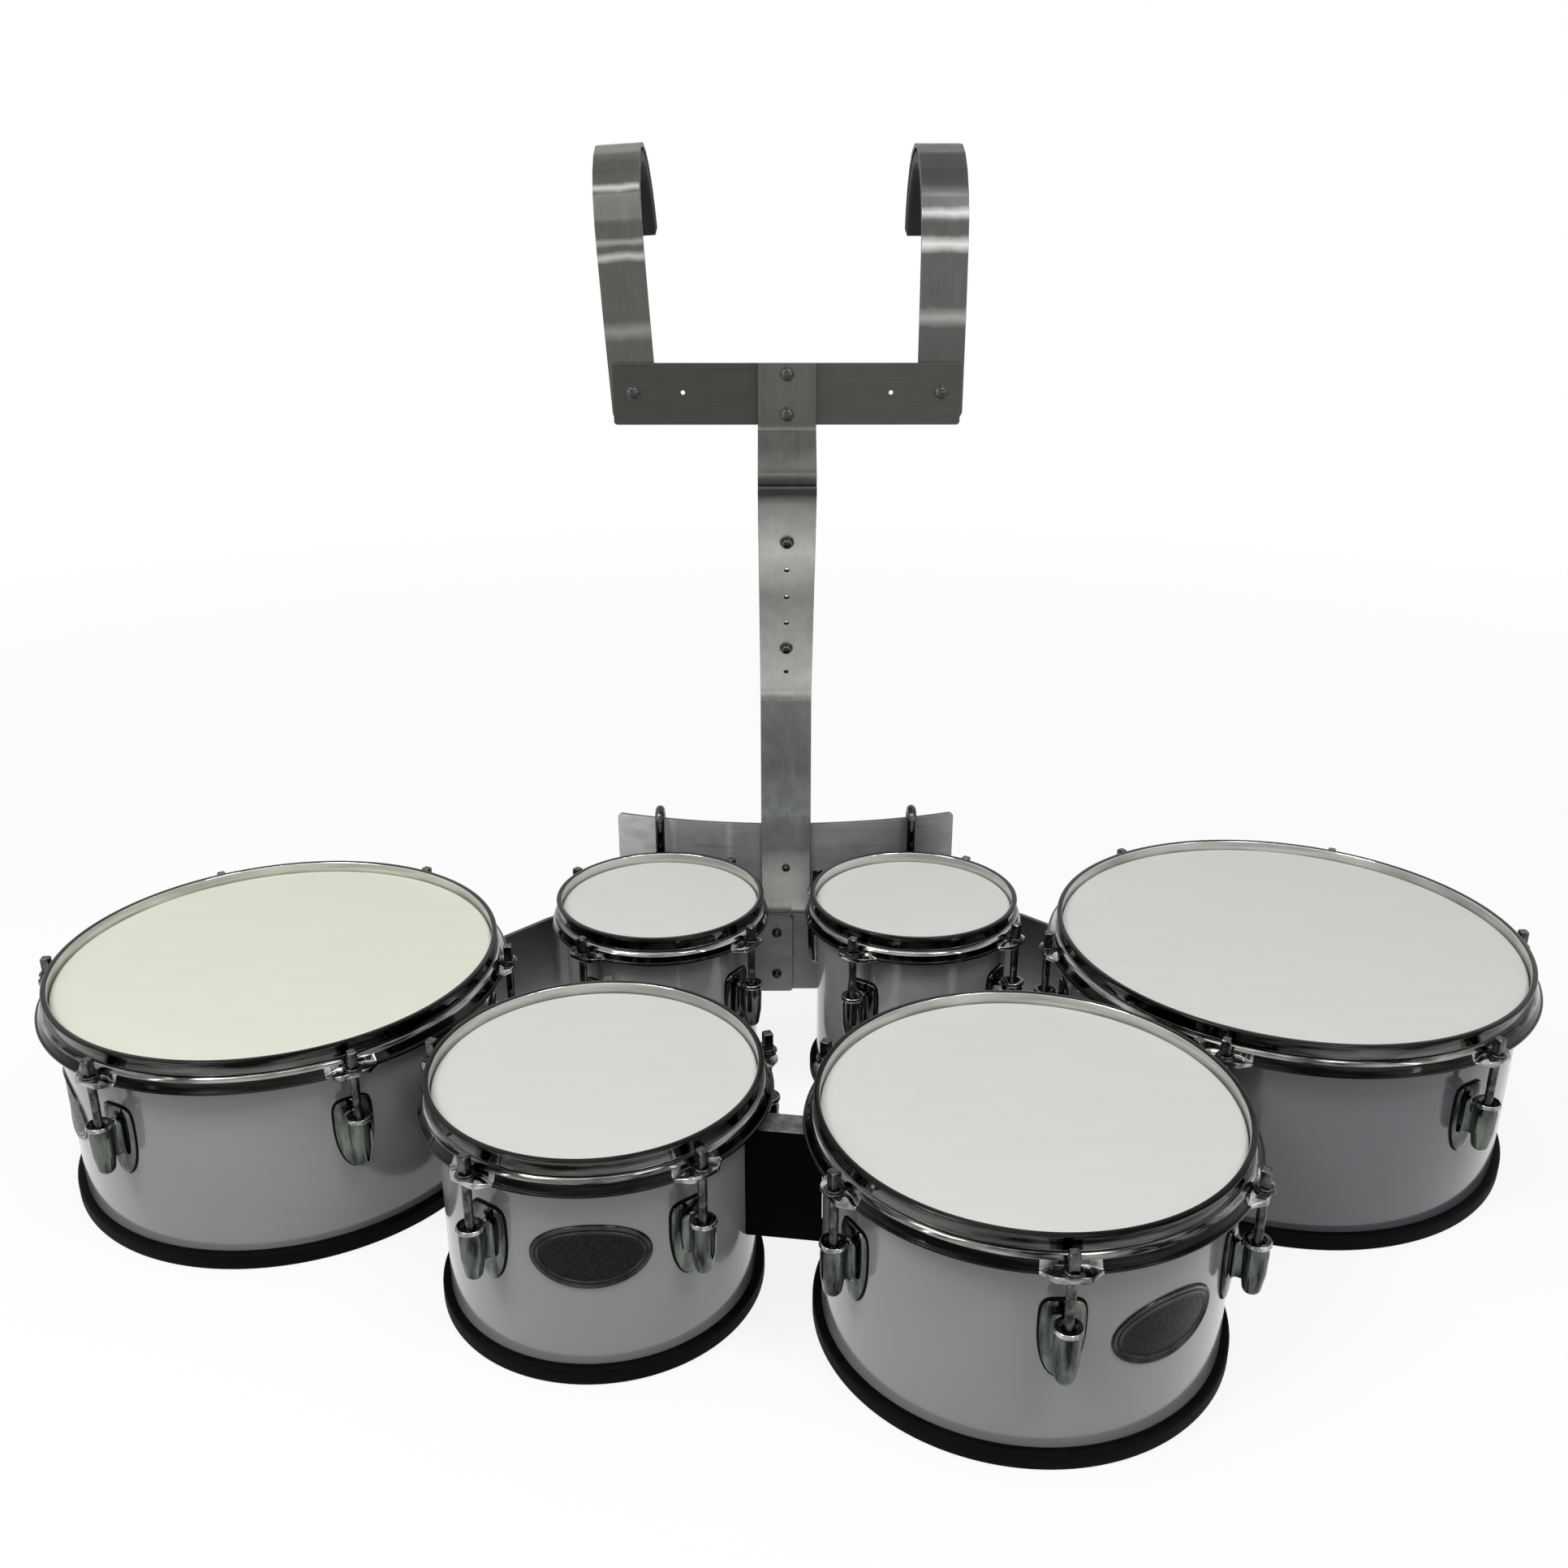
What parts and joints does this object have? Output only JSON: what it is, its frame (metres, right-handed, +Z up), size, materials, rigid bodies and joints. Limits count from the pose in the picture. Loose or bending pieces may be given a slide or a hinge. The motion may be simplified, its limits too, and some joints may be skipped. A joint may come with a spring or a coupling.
{
  "type": "marching tenor drums",
  "caption": "Single-headed tenor drums of graded sizes, joined side by side on a bent bar frame, with a belly plate and padded shoulder hooks for playing while walking.",
  "frame": {"origin": "on the floor under the middle of the whole object's footprint, at the height of the edge guards' undersides", "axes": "+X across the player from the 12 inch drum to the 13 inch drum, +Y from the audience to the player, +Z up"},
  "size_m": [1.1098, 0.6168, 0.7115],
  "materials": {
    "shell": "white gloss lacquer on bent plywood",
    "chrome": "bright chrome plate on pressed steel",
    "head": "coated polyester film, off-white and matt",
    "edge_guard": "moulded black rubber, satin",
    "aluminium": "brushed flat bar with fine scratches",
    "steel": "bright zinc-plated screws and fittings",
    "black_paint": "satin black paint",
    "foam": "black closed-cell foam with a fine skin",
    "badge": "plain dark enamel in a bright rim"
  },
  "bodies": {
    "drum_set": {"six_left_shell": "shell", "six_left_edge_guard": "edge_guard", "six_left_head": "head", "six_left_hoop": "chrome", "six_right_shell": "shell", "six_right_edge_guard": "edge_guard", "six_right_head": "head", "six_right_hoop": "chrome", "eight_shell": "shell", "eight_edge_guard": "edge_guard", "eight_head": "head", "eight_hoop": "chrome", "eight_badge": "badge", "ten_shell": "shell", "ten_edge_guard": "edge_guard", "ten_head": "head", "ten_hoop": "chrome", "ten_badge": "badge", "twelve_shell": "shell", "twelve_edge_guard": "edge_guard", "twelve_head": "head", "twelve_hoop": "chrome", "twelve_badge": "badge", "thirteen_shell": "shell", "thirteen_edge_guard": "edge_guard", "thirteen_head": "head", "thirteen_hoop": "chrome", "bridge_eight_ten": "black_paint", "bridge_twelve_eight": "black_paint", "bridge_ten_thirteen": "black_paint", "spine_band_left": "aluminium", "spine_band_right": "aluminium", "band_screw_low": "steel", "band_screw_high": "steel", "rod_clamp_left": "steel", "rod_clamp_right": "steel"},
    "carrier": {"belly_plate": "aluminium", "belly_pad": "foam", "lower_bar": "aluminium", "lap_bolt_low": "steel", "lap_bolt_high": "steel", "j_rod_left": "chrome", "j_rod_right": "chrome"},
    "shoulder_frame": {"upper_bar": "aluminium", "crossbar": "aluminium", "hook_screw_left": "steel", "hook_screw_right": "steel"},
    "hook_left": {"hook_left": "aluminium", "hook_pad_left": "foam"},
    "hook_right": {"hook_right": "aluminium", "hook_pad_right": "foam"},
    "clamp_knob_left": {"clamp_knob_left": "black_paint"},
    "clamp_knob_right": {"clamp_knob_right": "black_paint"},
    "ten_tension_rod_1": {"ten_tension_rod_1": "steel"},
    "ten_tension_rod_2": {"ten_tension_rod_2": "steel"},
    "ten_tension_rod_3": {"ten_tension_rod_3": "steel"},
    "ten_tension_rod_4": {"ten_tension_rod_4": "steel"},
    "ten_tension_rod_5": {"ten_tension_rod_5": "steel"},
    "ten_tension_rod_6": {"ten_tension_rod_6": "steel"}
  },
  "joints": [
    {"name": "carrier_height", "type": "slide", "parent": "drum_set", "child": "carrier", "axis": [0, 0, 1], "range_m": [0, 0.04]},
    {"name": "upper_bar_slide", "type": "slide", "parent": "carrier", "child": "shoulder_frame", "axis": [0, -0.5341, 0.8455], "range_m": [-0.0288, 0.0288]},
    {"name": "hook_left_swivel", "type": "hinge", "parent": "shoulder_frame", "child": "hook_left", "pos_m": [-0.11771, 0.16218, 0.54294], "axis": [0, 1, 0], "range_deg": [-8, 16]},
    {"name": "hook_right_swivel", "type": "hinge", "parent": "shoulder_frame", "child": "hook_right", "pos_m": [0.10229, 0.16218, 0.54294], "axis": [0, 1, 0], "range_deg": [-12, 12]},
    {"name": "clamp_knob_left_turn", "type": "hinge", "parent": "drum_set", "child": "clamp_knob_left", "pos_m": [-0.11571, 0.25351, 0.06], "axis": [0, 1, 0], "continuous": true},
    {"name": "clamp_knob_right_turn", "type": "hinge", "parent": "drum_set", "child": "clamp_knob_right", "pos_m": [0.10029, 0.25351, 0.06], "axis": [0, 1, 0], "continuous": true},
    {"name": "ten_tension_rod_1_turn", "type": "hinge", "parent": "drum_set", "child": "ten_tension_rod_1", "pos_m": [0.13819, -0.30042, 0.118], "axis": [0, 0, 1], "continuous": true},
    {"name": "ten_tension_rod_2_turn", "type": "hinge", "parent": "drum_set", "child": "ten_tension_rod_2", "pos_m": [0.2603, -0.22992, 0.118], "axis": [0, 0, 1], "continuous": true},
    {"name": "ten_tension_rod_3_turn", "type": "hinge", "parent": "drum_set", "child": "ten_tension_rod_3", "pos_m": [0.2603, -0.08892, 0.118], "axis": [0, 0, 1], "continuous": true},
    {"name": "ten_tension_rod_4_turn", "type": "hinge", "parent": "drum_set", "child": "ten_tension_rod_4", "pos_m": [0.13819, -0.01842, 0.118], "axis": [0, 0, 1], "continuous": true},
    {"name": "ten_tension_rod_5_turn", "type": "hinge", "parent": "drum_set", "child": "ten_tension_rod_5", "pos_m": [0.01608, -0.08892, 0.118], "axis": [0, 0, 1], "continuous": true},
    {"name": "ten_tension_rod_6_turn", "type": "hinge", "parent": "drum_set", "child": "ten_tension_rod_6", "pos_m": [0.01608, -0.22992, 0.118], "axis": [0, 0, 1], "continuous": true}
  ]
}
